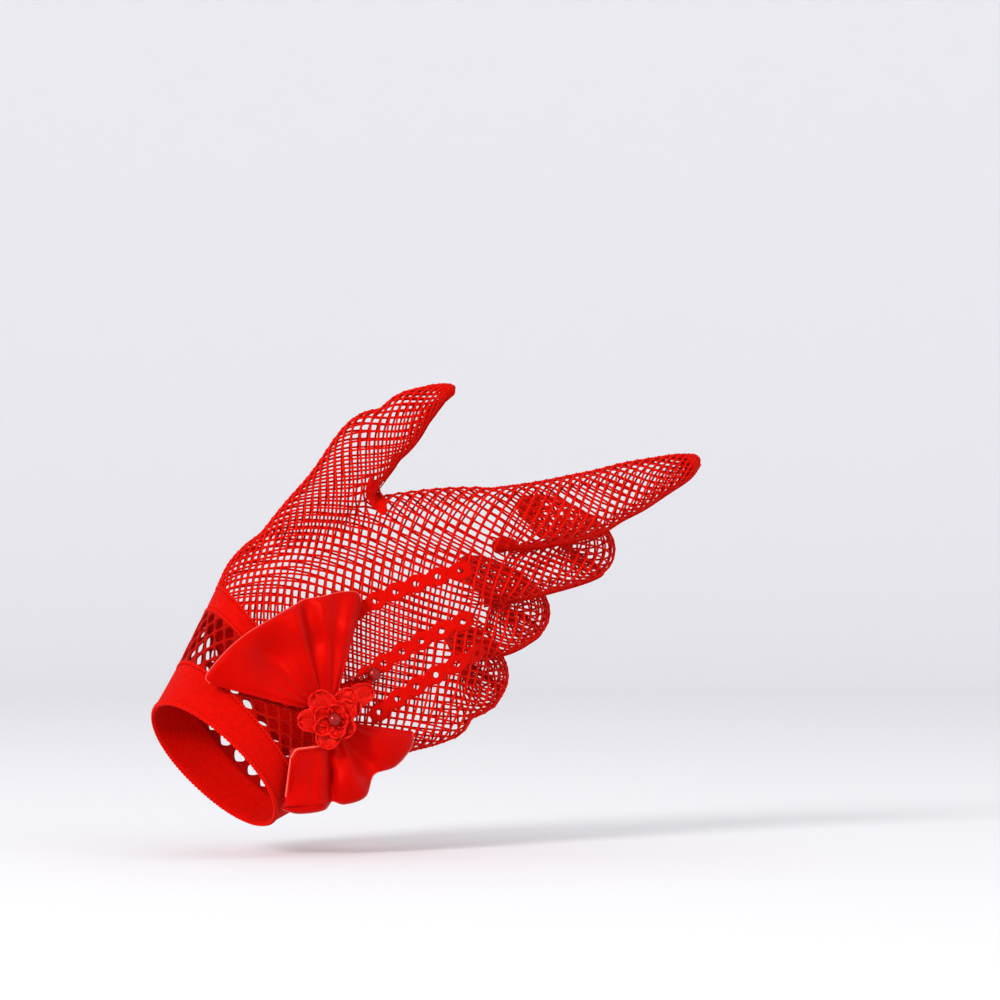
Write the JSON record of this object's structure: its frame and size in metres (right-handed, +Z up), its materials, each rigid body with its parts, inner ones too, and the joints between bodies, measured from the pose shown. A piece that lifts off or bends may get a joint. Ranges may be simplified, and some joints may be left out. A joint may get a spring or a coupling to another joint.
{
  "type": "fishnet glove",
  "caption": "Wrist-length fishnet glove in its worn shape: knitted hem, open-net cuff, band, fine-net hand and fingers, with a satin bow, lace flower and beads on the back of the wrist.",
  "frame": {"origin": "middle of the wrist opening, at the hem's edge", "axes": "X to the right across the picture, along the hand; Z up; Y away from the viewer, who sees the back of the hand"},
  "size_m": [0.1961, 0.1027, 0.157],
  "materials": {
    "knit": "dense matt knit, scarlet",
    "net": "knotted elastic net yarn, scarlet",
    "satin": "satin ribbon with a soft sheen",
    "lace": "corded lace",
    "bead": "polished"
  },
  "bodies": {
    "root": {"wrist_hem": "knit", "cuff_net": "net", "cuff_band": "knit", "hand_back_net": "net", "hand_palm_net": "net", "thumb_net": "net", "index_finger_net": "net", "middle_finger_net": "net", "ring_finger_net": "net", "little_finger_net": "net", "bow_upper_loop": "satin", "bow_lower_loop": "satin", "bow_knot": "satin", "flower": "lace", "lace_leaf": "lace", "flower_bead": "bead", "spray_bead": "bead", "spray_bead_small": "bead", "spray_bead_tiny": "bead"}
  },
  "joints": []
}
